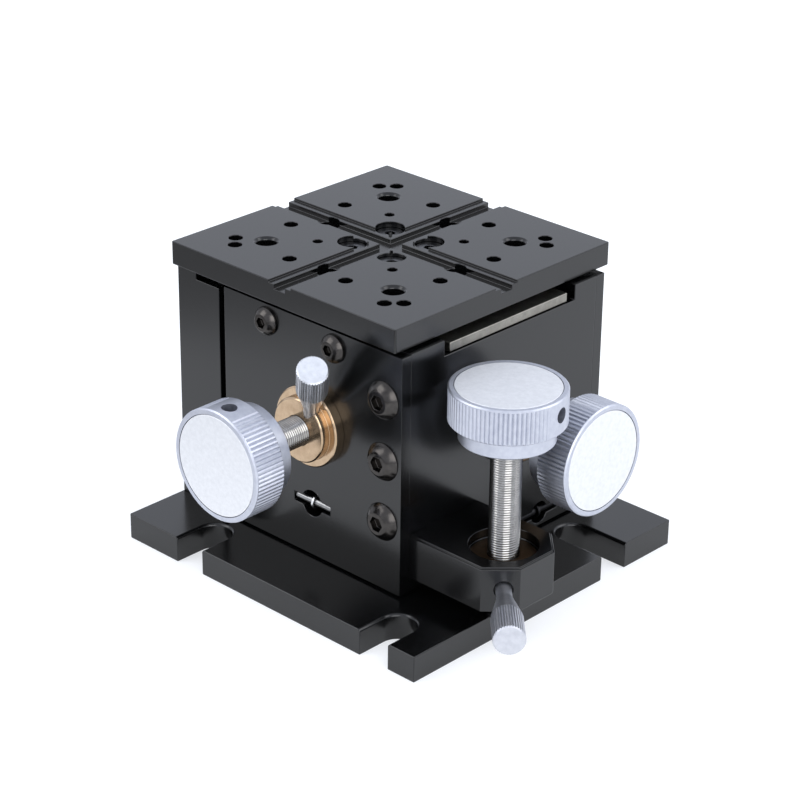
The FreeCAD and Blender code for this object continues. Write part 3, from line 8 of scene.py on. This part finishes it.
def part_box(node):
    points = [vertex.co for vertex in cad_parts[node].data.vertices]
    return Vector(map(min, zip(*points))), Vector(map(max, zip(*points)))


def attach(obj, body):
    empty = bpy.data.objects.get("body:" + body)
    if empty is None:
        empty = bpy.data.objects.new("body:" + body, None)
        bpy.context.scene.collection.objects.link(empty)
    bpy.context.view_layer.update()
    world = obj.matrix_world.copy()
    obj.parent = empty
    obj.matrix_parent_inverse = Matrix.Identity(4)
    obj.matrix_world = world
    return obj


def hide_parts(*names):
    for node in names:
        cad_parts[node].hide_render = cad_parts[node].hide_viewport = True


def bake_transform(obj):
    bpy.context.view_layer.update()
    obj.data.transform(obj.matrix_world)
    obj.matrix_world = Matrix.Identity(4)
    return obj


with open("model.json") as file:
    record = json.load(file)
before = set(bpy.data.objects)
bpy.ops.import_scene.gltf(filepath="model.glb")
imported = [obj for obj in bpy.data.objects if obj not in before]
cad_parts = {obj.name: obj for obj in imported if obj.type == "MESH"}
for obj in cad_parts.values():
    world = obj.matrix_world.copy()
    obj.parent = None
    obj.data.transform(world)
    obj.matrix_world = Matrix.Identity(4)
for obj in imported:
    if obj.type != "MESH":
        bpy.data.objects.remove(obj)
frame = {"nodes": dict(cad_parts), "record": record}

NODES = frame["nodes"]
SLOTS = {part["node"]: part["material_slot"] for part in frame["record"]["subparts"]}
BODIES = {
    node: body
    for body, held in frame["record"]["behaviour"]["bodies"].items()
    for node in held
}
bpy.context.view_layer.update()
MM = 0.001

# Corners closer than this become one, in metres

MERGE_WITHIN = 0.000001


# Camera, as the photograph was taken. Angles in degrees, lens and sensor in millimetres

CAMERA_AZIMUTH = 43.39
CAMERA_ELEVATION = 25.55
CAMERA_ROLL = 0.72
CAMERA_DISTANCE = 0.7707
CAMERA_AIM = Vector((-0.16059, 0.17301, -0.08677))
CAMERA_LENS = 115.0
SENSOR_WIDTH = 36.0
SEES_FROM = 0.01
SEES_TO = 20.0


def add_camera():
    azimuth = math.radians(CAMERA_AZIMUTH)
    elevation = math.radians(CAMERA_ELEVATION)
    roll = math.radians(CAMERA_ROLL)
    back = Vector((
        math.sin(azimuth) * math.cos(elevation),
        -math.cos(azimuth) * math.cos(elevation),
        math.sin(elevation),
    ))
    level = Vector((0.0, 0.0, 1.0)).cross(back).normalized()
    upright = back.cross(level)
    right = math.cos(roll) * level + math.sin(roll) * upright
    up = back.cross(right)
    data = bpy.data.cameras.new("camera")
    data.lens = CAMERA_LENS
    data.sensor_width = SENSOR_WIDTH
    data.clip_start = SEES_FROM
    data.clip_end = SEES_TO
    camera = bpy.data.objects.new("camera", data)
    bpy.context.scene.collection.objects.link(camera)
    turn = Matrix((right, up, back)).transposed().to_4x4()
    camera.matrix_world = Matrix.Translation(CAMERA_AIM + back * CAMERA_DISTANCE) @ turn
    bpy.context.scene.camera = camera


# Floor and soft studio light, in metres and watts

FLOOR_SIDE = 6.0
LIGHT_SIDE = 0.8
SKY_COLOUR = (0.86, 0.90, 1.0, 1.0)
SKY_STRENGTH = 1.15

# Each light's name, place, aim and power

LIGHTS = (
    ("front_left_light", (-0.60, -0.85, 0.75), (0.0, 0.0, 0.03), 5.0),
    ("front_right_light", (0.85, -0.55, 0.55), (0.0, 0.0, 0.02), 5.0),
    ("back_right_light", (0.75, 0.65, 0.75), (0.0, 0.0, 0.02), 4.0),
)


def area_light(name, place, aim, power):
    data = bpy.data.lights.new(name, "AREA")
    data.shape = "SQUARE"
    data.size = LIGHT_SIDE
    data.energy = power
    light = bpy.data.objects.new(name, data)
    bpy.context.scene.collection.objects.link(light)
    place = Vector(place)
    turn = (Vector(aim) - place).to_track_quat("-Z", "Y").to_matrix().to_4x4()
    light.matrix_world = Matrix.Translation(place) @ turn


def add_studio():
    scene = bpy.context.scene
    scene.view_settings.view_transform = "Standard"
    world = bpy.data.worlds.new("studio")
    world.use_nodes = True
    sky = world.node_tree.nodes["Background"]
    sky.inputs["Color"].default_value = SKY_COLOUR
    sky.inputs["Strength"].default_value = SKY_STRENGTH
    scene.world = world
    bpy.ops.object.select_all(action="DESELECT")
    bpy.ops.mesh.primitive_plane_add(size=FLOOR_SIDE, location=(0.0, 0.0, 0.0))
    floor = bpy.context.object
    floor.name = "floor"
    floor.data.materials.append(FINISHES["floor"])
    for name, place, aim, power in LIGHTS:
        area_light(name, place, aim, power)


# Shared shader groups

GRAIN_DEPTH = 0.00002


def new_group(name, inputs, outputs):
    group = bpy.data.node_groups.new(name, "ShaderNodeTree")
    for label, kind, value in inputs:
        item = group.interface.new_socket(label, in_out="INPUT", socket_type=kind)
        if value is not None:
            item.default_value = value
    for label, kind in outputs:
        group.interface.new_socket(label, in_out="OUTPUT", socket_type=kind)
    start = group.nodes.new("NodeGroupInput")
    end = group.nodes.new("NodeGroupOutput")
    return group, start, end


def cloud_group():
    """Slow uneven patches between two tones, as a finish has from batch to batch"""
    group, start, end = new_group(
        "uneven_tone",
        [("Position", "NodeSocketVector", None), ("Scale", "NodeSocketFloat", 40.0),
         ("Dark", "NodeSocketColor", (0.0, 0.0, 0.0, 1.0)),
         ("Light", "NodeSocketColor", (1.0, 1.0, 1.0, 1.0))],
        [("Color", "NodeSocketColor")])
    link = group.links.new
    noise = group.nodes.new("ShaderNodeTexNoise")
    noise.inputs["Detail"].default_value = 5.0
    noise.inputs["Roughness"].default_value = 0.6
    link(start.outputs["Position"], noise.inputs["Vector"])
    link(start.outputs["Scale"], noise.inputs["Scale"])
    spread = group.nodes.new("ShaderNodeMapRange")
    spread.inputs["From Min"].default_value = 0.3
    spread.inputs["From Max"].default_value = 0.7
    link(noise.outputs["Fac"], spread.inputs["Value"])
    mix = group.nodes.new("ShaderNodeMix")
    mix.data_type = "RGBA"
    link(spread.outputs["Result"], mix.inputs["Factor"])
    link(start.outputs["Dark"], mix.inputs["A"])
    link(start.outputs["Light"], mix.inputs["B"])
    link(mix.outputs["Result"], end.inputs["Color"])
    return group


def grain_group():
    """Fine blasted or ground grain: a roughness value and a bumped normal"""
    group, start, end = new_group(
        "fine_grain",
        [("Position", "NodeSocketVector", None), ("Scale", "NodeSocketFloat", 6000.0),
         ("Rough Low", "NodeSocketFloat", 0.3), ("Rough High", "NodeSocketFloat", 0.4),
         ("Bump", "NodeSocketFloat", 0.1)],
        [("Roughness", "NodeSocketFloat"), ("Normal", "NodeSocketVector")])
    link = group.links.new
    noise = group.nodes.new("ShaderNodeTexNoise")
    noise.inputs["Detail"].default_value = 3.0
    link(start.outputs["Position"], noise.inputs["Vector"])
    link(start.outputs["Scale"], noise.inputs["Scale"])
    rough = group.nodes.new("ShaderNodeMapRange")
    link(noise.outputs["Fac"], rough.inputs["Value"])
    link(start.outputs["Rough Low"], rough.inputs["To Min"])
    link(start.outputs["Rough High"], rough.inputs["To Max"])
    bump = group.nodes.new("ShaderNodeBump")
    bump.inputs["Distance"].default_value = GRAIN_DEPTH
    link(start.outputs["Bump"], bump.inputs["Strength"])
    link(noise.outputs["Fac"], bump.inputs["Height"])
    link(rough.outputs["Result"], end.inputs["Roughness"])
    link(bump.outputs["Normal"], end.inputs["Normal"])
    return group


CLOUD = cloud_group()
GRAIN = grain_group()


# Materials

def new_material(name, metallic, **constants):
    material = bpy.data.materials.new(name)
    material.use_nodes = True
    shader = material.node_tree.nodes["Principled BSDF"]
    shader.inputs["Metallic"].default_value = metallic
    for label, value in constants.items():
        shader.inputs[label.replace("_", " ")].default_value = value
    place = material.node_tree.nodes.new("ShaderNodeTexCoord").outputs["Object"]
    return material, shader, place


def add_group(material, group, position, **values):
    node = material.node_tree.nodes.new("ShaderNodeGroup")
    node.node_tree = group
    material.node_tree.links.new(position, node.inputs["Position"])
    for label, value in values.items():
        node.inputs[label.replace("_", " ")].default_value = value
    return node


def grained(name, metallic, dark, light, rough, patch=40.0, grain=6000.0, bump=0.15):
    """A metal or coating with uneven tone and a fine grain

    The base tone lies between dark and light, the roughness between the two values of rough. A
    higher patch or grain makes a finer pattern.
    """
    material, shader, place = new_material(name, metallic)
    link = material.node_tree.links.new
    tone = add_group(material, CLOUD, place, Scale=patch, Dark=(*dark, 1.0), Light=(*light, 1.0))
    fine = add_group(material, GRAIN, place, Scale=grain, Rough_Low=rough[0],
                     Rough_High=rough[1], Bump=bump)
    link(tone.outputs["Color"], shader.inputs["Base Color"])
    link(fine.outputs["Roughness"], shader.inputs["Roughness"])
    link(fine.outputs["Normal"], shader.inputs["Normal"])
    return material


# The floor's paper is white in the picture. To the left of it, where only the black faces see it,
# the paper and its glow are painted pale grey: painted shade, which the black faces reflect as
# darker. The tone changes along ACROSS_THE_PICTURE, between two places in metres from the middle
# of the floor

ACROSS_THE_PICTURE = (0.60, 0.80, 0.0)
PAINTED_SHADE_FROM = -0.155
PAPER_WHITE_FROM = -0.112
PAPER_PAINTED_SHADE = (0.22, 0.22, 0.22, 1.0)
PAPER_WHITE_LOW = (0.50, 0.51, 0.52, 1.0)
PAPER_WHITE_HIGH = (0.52, 0.53, 0.54, 1.0)
PAPER_PATCH = 2.0
PAPER_ROUGHNESS = 0.75
GLOW_PAINTED_SHADE = (0.40, 0.40, 0.41, 1.0)
GLOW_WHITE = (0.97, 0.98, 1.0, 1.0)
GLOW_STRENGTH = 0.55


def floor_paper():
    """White paper that glows a little, with painted shade that turns it pale grey outside the
    picture, on the left
    """
    material, shader, place = new_material(
        "floor_paper", 0.0, Roughness=PAPER_ROUGHNESS, Emission_Strength=GLOW_STRENGTH)
    nodes, link = material.node_tree.nodes, material.node_tree.links.new
    across = nodes.new("ShaderNodeVectorMath")
    across.operation = "DOT_PRODUCT"
    across.inputs[1].default_value = ACROSS_THE_PICTURE
    link(place, across.inputs[0])
    fade = nodes.new("ShaderNodeMapRange")
    fade.interpolation_type = "SMOOTHSTEP"
    fade.inputs["From Min"].default_value = PAINTED_SHADE_FROM
    fade.inputs["From Max"].default_value = PAPER_WHITE_FROM
    link(across.outputs["Value"], fade.inputs["Value"])

    def fading(label, grey):
        """The socket for the tone in the picture, where grey is the painted shade outside it"""
        tone = nodes.new("ShaderNodeMix")
        tone.data_type = "RGBA"
        tone.inputs["A"].default_value = grey
        link(fade.outputs["Result"], tone.inputs["Factor"])
        link(tone.outputs["Result"], shader.inputs[label])
        return tone.inputs["B"]

    paper = add_group(material, CLOUD, place, Scale=PAPER_PATCH, Dark=PAPER_WHITE_LOW,
                      Light=PAPER_WHITE_HIGH)
    link(paper.outputs["Color"], fading("Base Color", PAPER_PAINTED_SHADE))
    fading("Emission Color", GLOW_PAINTED_SHADE).default_value = GLOW_WHITE
    return material


# Finishes of the record's material slots

FINISHES = {
    "floor": floor_paper(),
    "black_anodised": grained(
        "black_anodised", 0.0, (0.0008, 0.0009, 0.0010), (0.0020, 0.0021, 0.0023),
        (0.16, 0.24), grain=5000.0, bump=0.10),
    "satin_aluminium": grained(
        "satin_aluminium", 1.0, (0.46, 0.48, 0.55), (0.54, 0.56, 0.62),
        (0.34, 0.48), patch=900.0),
    "dark_steel": grained(
        "dark_steel", 1.0, (0.046, 0.043, 0.041), (0.070, 0.065, 0.061),
        (0.18, 0.28), patch=900.0),
    "bright_steel": grained(
        "bright_steel", 1.0, (0.70, 0.72, 0.76), (0.84, 0.86, 0.90),
        (0.24, 0.36), patch=900.0),
    "screw_steel": grained(
        "screw_steel", 1.0, (0.25, 0.245, 0.235), (0.36, 0.352, 0.34),
        (0.14, 0.22), patch=600.0),
    "ground_steel": grained(
        "ground_steel", 1.0, (0.20, 0.19, 0.17), (0.28, 0.27, 0.24),
        (0.30, 0.42), patch=700.0),
    "rail_steel": grained(
        "rail_steel", 1.0, (0.55, 0.55, 0.56), (0.66, 0.66, 0.67), (0.12, 0.2)),
    "cage_brass": grained(
        "cage_brass", 1.0, (0.60, 0.44, 0.20), (0.74, 0.56, 0.28), (0.25, 0.35)),
    "spring_steel": grained(
        "spring_steel", 1.0, (0.60, 0.60, 0.61), (0.75, 0.75, 0.76), (0.18, 0.28)),
    "brass": grained(
        "brass_turned", 1.0, (0.38, 0.27, 0.17), (0.54, 0.40, 0.27),
        (0.12, 0.22), patch=400.0),
}

# Finishes of single pieces, where they differ from their slot's

BLASTED = grained(
    "disc_blasted", 1.0, (0.71, 0.72, 0.74), (0.79, 0.80, 0.82),
    (0.50, 0.64), patch=1100.0, grain=5000.0, bump=0.08)
SET_SCREW_BLACK = grained(
    "set_screw_black", 1.0, (0.004, 0.004, 0.004), (0.010, 0.010, 0.010),
    (0.34, 0.46), patch=900.0)
# Painted shade: a near-black copy of the brass for the X and Z bushings, which sit in shade under
# and behind the knobs
BRASS_IN_PAINTED_SHADE = grained(
    "brass_painted_shade", 1.0, (0.10, 0.066, 0.038), (0.15, 0.10, 0.06),
    (0.30, 0.42), patch=400.0)

PIECE_FINISHES = {
    "deck_cap_screws": grained(
        "black_oxide", 1.0, (0.045, 0.046, 0.050), (0.090, 0.092, 0.100),
        (0.22, 0.34), patch=900.0),
    # Painted shade: the Z lock screw takes a darker copy of the bright steel, so its face shows
    # less of the floor's light
    "z_lock_screw": grained(
        "lock_steel_painted_shade", 1.0, (0.50, 0.51, 0.55), (0.60, 0.61, 0.65),
        (0.30, 0.42), patch=900.0),
    "y_spring_pin": grained(
        "pin_steel", 1.0, (0.22, 0.22, 0.22), (0.32, 0.32, 0.32),
        (0.22, 0.32), patch=900.0),
    "x_bushing": BRASS_IN_PAINTED_SHADE,
    "z_bushing": BRASS_IN_PAINTED_SHADE,
}
for letter in "xyz":
    PIECE_FINISHES[letter + "_knob_disc"] = BLASTED
    PIECE_FINISHES[letter + "_knob_set_screw"] = SET_SCREW_BLACK
# Painted shade: the X spring pin and its spring sit in shade on the side face and take a
# near-black copy of the steel
for shaded in ("x_spring_pin", "x_return_spring"):
    PIECE_FINISHES[shaded] = grained(
        shaded + "_dark", 1.0, (0.016, 0.016, 0.017), (0.030, 0.030, 0.032),
        (0.34, 0.46), patch=900.0)


def take_finish(piece, node):
    piece.data.materials.clear()
    piece.data.materials.append(PIECE_FINISHES.get(node, FINISHES[SLOTS[node]]))


def stand_for(piece, node):
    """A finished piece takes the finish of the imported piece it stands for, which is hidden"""
    take_finish(piece, node)
    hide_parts(node)


def only(piece):
    bpy.ops.object.select_all(action="DESELECT")
    piece.select_set(True)
    bpy.context.view_layer.objects.active = piece


# Small rounded edges. Width in millimetres for each piece, in the order they are made

EDGE_WIDTHS = {
    "top_plate": 0.10,
    "base_plate": 0.16,
    "front_cover_plate": 0.12,
    "back_plate": 0.12,
    "fixed_post": 0.14,
    "riser_body": 0.12,
    "z_bracket": 0.10,
    "cross_saddle": 0.12,
    "x_bushing": 0.06,
    "y_bushing": 0.06,
    "z_bushing": 0.06,
    "cover_screws_large": 0.07,
    "cover_screws_small": 0.07,
    "back_plate_screws": 0.07,
    "deck_cap_screws": 0.07,
}
DISC_EDGE_WIDTH = 0.10
EDGE_STEPS = 2

# Faces that meet at less than FLAT_WITHIN become one, edges sharper than SHARP_FROM are rounded,
# and what turns less than SMOOTH_WITHIN is shaded as one surface

FLAT_WITHIN = math.radians(0.6)
SHARP_FROM = math.radians(32.0)
SMOOTH_WITHIN = math.radians(60.0)
MOST_WEIGHT = 100


def broken_edges(node, width):
    """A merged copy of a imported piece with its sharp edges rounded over"""
    piece = bpy.data.objects.new(node + "_edged", NODES[node].data.copy())
    bpy.context.scene.collection.objects.link(piece)
    only(piece)
    bpy.ops.object.mode_set(mode="EDIT")
    bpy.ops.mesh.select_all(action="SELECT")
    bpy.ops.mesh.remove_doubles(threshold=MERGE_WITHIN)
    bpy.ops.mesh.dissolve_limited(angle_limit=FLAT_WITHIN)
    bpy.ops.object.mode_set(mode="OBJECT")
    bpy.ops.object.shade_smooth_by_angle(angle=SHARP_FROM)
    edges = piece.modifiers.new("edges", "BEVEL")
    edges.limit_method = "ANGLE"
    edges.angle_limit = SHARP_FROM
    edges.width = width * MM
    edges.segments = EDGE_STEPS
    edges.use_clamp_overlap = False
    bpy.ops.object.modifier_apply(modifier="edges")
    bpy.ops.object.shade_smooth_by_angle(angle=SMOOTH_WITHIN)
    flats = piece.modifiers.new("flats", "WEIGHTED_NORMAL")
    flats.mode = "FACE_AREA"
    flats.weight = MOST_WEIGHT
    flats.keep_sharp = True
    bpy.ops.object.modifier_apply(modifier="flats")
    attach(piece, BODIES[node])
    stand_for(piece, node)


# Drive screws with a fine thread

SCREW_RADIUS = 3.0 * MM
THREAD_DEPTH = 0.20 * MM
PITCH = 0.5 * MM
THREAD_STEPS = 36
SPARE_TURNS = 3
THREAD_SMOOTH_WITHIN = math.radians(80.0)

# The way from each drive screw's tip to its knob

KNOB_WAYS = {"x": (1.0, 0.0, 0.0), "y": (0.0, -1.0, 0.0), "z": (0.0, 0.0, 1.0)}


def profile_line(name, points):
    """A line through points in the plane of x and z, drawn by extruding one corner onwards"""
    bpy.ops.object.select_all(action="DESELECT")
    bpy.ops.mesh.primitive_plane_add(size=MM, location=(0.0, 0.0, 0.0))
    piece = bpy.context.object
    piece.name = name
    bpy.ops.object.mode_set(mode="EDIT")
    bpy.ops.mesh.select_all(action="SELECT")
    bpy.ops.mesh.merge(type="CENTER")
    place = Vector((points[0][0], 0.0, points[0][1]))
    bpy.ops.transform.translate(value=place)
    for radius, height in points[1:]:
        following = Vector((radius, 0.0, height))
        bpy.ops.mesh.extrude_region_move(TRANSFORM_OT_translate={"value": following - place})
        place = following
    bpy.ops.object.mode_set(mode="OBJECT")
    return piece


def screw_round(piece, turns):
    only(piece)
    screw = piece.modifiers.new("turns", "SCREW")
    screw.axis = "Z"
    screw.angle = math.tau
    screw.screw_offset = PITCH
    screw.iterations = turns
    screw.steps = THREAD_STEPS
    screw.render_steps = THREAD_STEPS
    screw.use_merge_vertices = True
    screw.merge_threshold = MERGE_WITHIN
    bpy.ops.object.modifier_apply(modifier="turns")


def cut_end(height, keep_below):
    bpy.ops.mesh.select_all(action="SELECT")
    bpy.ops.mesh.bisect(plane_co=(0.0, 0.0, height), plane_no=(0.0, 0.0, 1.0), use_fill=True,
                        clear_outer=keep_below, clear_inner=not keep_below)


def threaded_screw(node, direction):
    """A drive screw with its fine thread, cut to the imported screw's length

    direction is the axis from the tip to the knob.
    """
    low, high = (Vector(corner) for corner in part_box(node))
    direction = Vector(direction)
    long = abs((high - low).dot(direction))
    middle = (low + high) / 2.0
    foot = middle - direction * long / 2.0
    crest, root = SCREW_RADIUS, SCREW_RADIUS - THREAD_DEPTH
    line = profile_line(node + "_thread", [
        (root, 0.0),
        (root, 0.08 * PITCH),
        (crest, 0.36 * PITCH),
        (crest, 0.64 * PITCH),
        (root, 0.92 * PITCH),
        (root, PITCH),
    ])
    screw_round(line, int(long / PITCH) + SPARE_TURNS)
    line.data.transform(Matrix.Translation((0.0, 0.0, -PITCH)))
    bpy.ops.object.mode_set(mode="EDIT")
    cut_end(0.0, False)
    cut_end(long, True)
    bpy.ops.mesh.select_all(action="SELECT")
    bpy.ops.mesh.normals_make_consistent(inside=False)
    bpy.ops.object.mode_set(mode="OBJECT")
    turn = Vector((0.0, 0.0, 1.0)).rotation_difference(direction).to_matrix().to_4x4()
    line.data.transform(Matrix.Translation(foot) @ turn)
    bpy.ops.object.shade_smooth_by_angle(angle=THREAD_SMOOTH_WITHIN)
    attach(line, BODIES[node])
    stand_for(line, node)


# Return springs, wound from round wire with a hook at each end. SPRING_MEAN is the radius of the
# coils' middle line, WIRE the wire's own radius and HOOK the hooks' radius

SPRING_MEAN = 1.5 * MM
WIRE = 0.3 * MM
CLOSE_WOUND = 2.15 * WIRE
TURN_STEPS = 10
HOOK = 1.2 * MM
HOOK_LEG = 2.6 * MM
HOOK_STEPS = 8

# Shares of a turn where the hooks begin, and how far round they go

START_HOOK_FROM = 0.08
END_HOOK_FROM = 0.60
HOOK_TURN = 0.82

# Turns of the front length of a spring that is split at a joint

FRONT_TURNS = 3

# Middles of the two pins that hold each spring's hooks, and how far the carriage comes forward

X_SPRING_ENDS = (0.03023, 0.0102, 0.0087), (0.006, 0.0102, 0.0087)
Y_SPRING_ENDS = (0.0082, -0.02844, 0.0169), (0.0082, -0.0092, 0.0169)
Z_SPRING_ENDS = (-0.007, -0.0238, 0.0024), (-0.007, -0.0238, 0.038)
Y_TRAVEL = 0.0065


def wire_along(name, points, node):
    """Round wire through points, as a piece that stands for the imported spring"""
    curve = bpy.data.curves.new(name, "CURVE")
    curve.dimensions = "3D"
    curve.bevel_depth = WIRE
    curve.bevel_resolution = 2
    curve.resolution_u = 3
    curve.use_fill_caps = True
    spline = curve.splines.new("NURBS")
    spline.points.add(len(points) - 1)
    for point, place in zip(spline.points, points):
        point.co = (*place, 1.0)
    spline.order_u = 3
    spline.use_endpoint_u = True
    wire = bpy.data.objects.new(name, curve)
    bpy.context.scene.collection.objects.link(wire)
    only(wire)
    bpy.ops.object.convert(target="MESH")
    wire = bpy.context.object
    bpy.ops.object.shade_smooth()
    stand_for(wire, node)
    return wire


def hook_points(centre, along, first, begin):
    points = []
    for i in range(HOOK_STEPS + 1):
        angle = math.tau * (begin + HOOK_TURN * i / HOOK_STEPS)
        points.append(centre + along * HOOK * math.cos(angle) + first * HOOK * math.sin(angle))
    return points


def wound_spring(node, ends, sideways, last_body=None, give=0.0):
    """A wound spring between two pins, with a round hook over each

    It is not attached to any body. With last_body it is made as two lengths of wire, split after
    FRONT_TURNS turns. give is how much shorter than here the spring gets.
    """
    start, end = (Vector(place) for place in ends)
    along = (end - start).normalized()
    first = Vector(sideways).normalized()
    second = along.cross(first)
    coils = (end - start).length - 2.0 * HOOK_LEG
    turns = int((coils - give) / CLOSE_WOUND)
    points = hook_points(start, along, first, START_HOOK_FROM)
    for i in range(turns * TURN_STEPS + 1):
        angle = math.tau * i / TURN_STEPS
        spot = start + along * (HOOK_LEG + coils * i / (turns * TURN_STEPS))
        points.append(spot + (first * math.cos(angle) + second * math.sin(angle)) * SPRING_MEAN)
    points += hook_points(end, along, first, END_HOOK_FROM)
    if last_body is None:
        wire = wire_along(node + "_wire", points, node)
        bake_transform(wire)
        return
    cut = HOOK_STEPS + 1 + FRONT_TURNS * TURN_STEPS
    wire = wire_along(node + "_wire", points[:cut + 1], node)
    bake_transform(wire)
    wire = wire_along(node + "_wire_end", points[cut:], node)
    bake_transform(wire)


add_camera()
add_studio()
for node in SLOTS:
    take_finish(NODES[node], node)
for node, width in EDGE_WIDTHS.items():
    broken_edges(node, width)
for letter, way in KNOB_WAYS.items():
    broken_edges(letter + "_knob_disc", DISC_EDGE_WIDTH)
    threaded_screw(letter + "_drive_screw", way)
wound_spring("y_return_spring", Y_SPRING_ENDS, (0.0, 0.0, 1.0),
             last_body="y_stage", give=Y_TRAVEL)
wound_spring("x_return_spring", X_SPRING_ENDS, (0.0, 0.0, 1.0))
wound_spring("z_return_spring", Z_SPRING_ENDS, (0.0, 1.0, 0.0))
